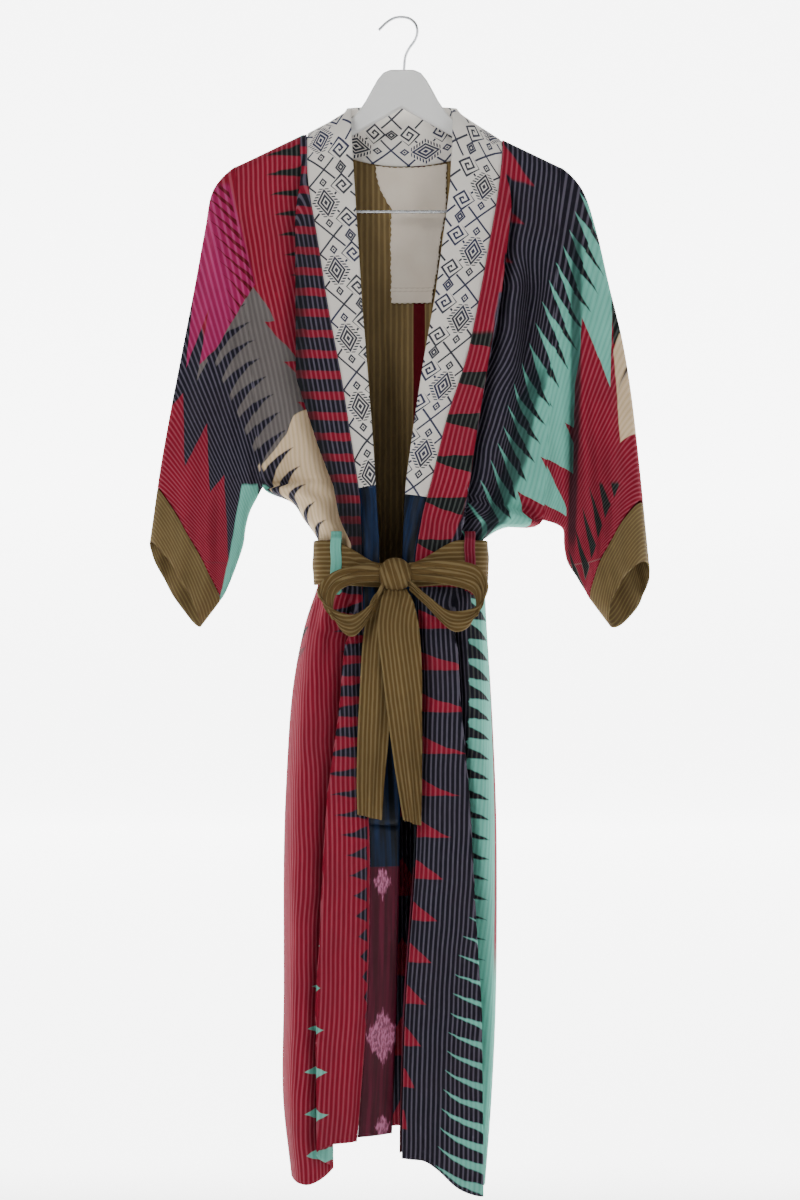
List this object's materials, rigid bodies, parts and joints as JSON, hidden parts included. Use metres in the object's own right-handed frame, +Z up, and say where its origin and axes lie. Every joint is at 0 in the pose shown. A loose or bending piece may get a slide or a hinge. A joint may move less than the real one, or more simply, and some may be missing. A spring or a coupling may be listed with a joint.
{
  "type": "kimono jacket on hanger",
  "caption": "Long kimono jacket with wide half sleeves, collar band and tied sash, hanging on a shouldered clothes hanger.",
  "frame": {"origin": "inner top of the hanger's hook, where a rod carries it", "axes": "+Z up, -Y the way the front faces, +X towards the wearer's left"},
  "size_m": [0.6025, 0.1627, 1.3987],
  "materials": {
    "striped_red": "ribbed cotton with thin pale stripes, serrated ikat figures",
    "striped_navy": "ribbed cotton with thin pale stripes, serrated ikat figures",
    "olive": "plain weave cotton with fine dark stripes",
    "jacquard": "off-white woven band with navy diamonds and hooked spirals",
    "satin": "navy satin",
    "wine": "wine satin with faded pink ikat figures",
    "patch": "bare off-white cotton with torn edges",
    "paint": "smooth white paint",
    "steel": "polished wire"
  },
  "bodies": {
    "root": {"front_right": "striped_red", "front_left": "striped_navy", "back": "striped_navy", "sleeve_right": "striped_red", "sleeve_left": "striped_navy", "cuff_right": "olive", "cuff_left": "olive", "collar_right": "jacquard", "collar_back": "jacquard", "collar_left": "jacquard", "satin_band_right": "satin", "satin_band_left": "satin", "wine_band_right": "wine", "wine_band_left": "wine", "back_lining": "olive", "neck_patch": "patch", "belt_waist": "olive", "belt_knot": "olive", "bow_loop_right": "olive", "bow_loop_left": "olive", "belt_tail_front": "olive", "belt_tail_back": "olive", "carrier_right": "striped_red", "carrier_left": "striped_red", "hanger_body": "paint", "hanger_hook": "steel", "hanger_bar": "steel"}
  },
  "joints": []
}
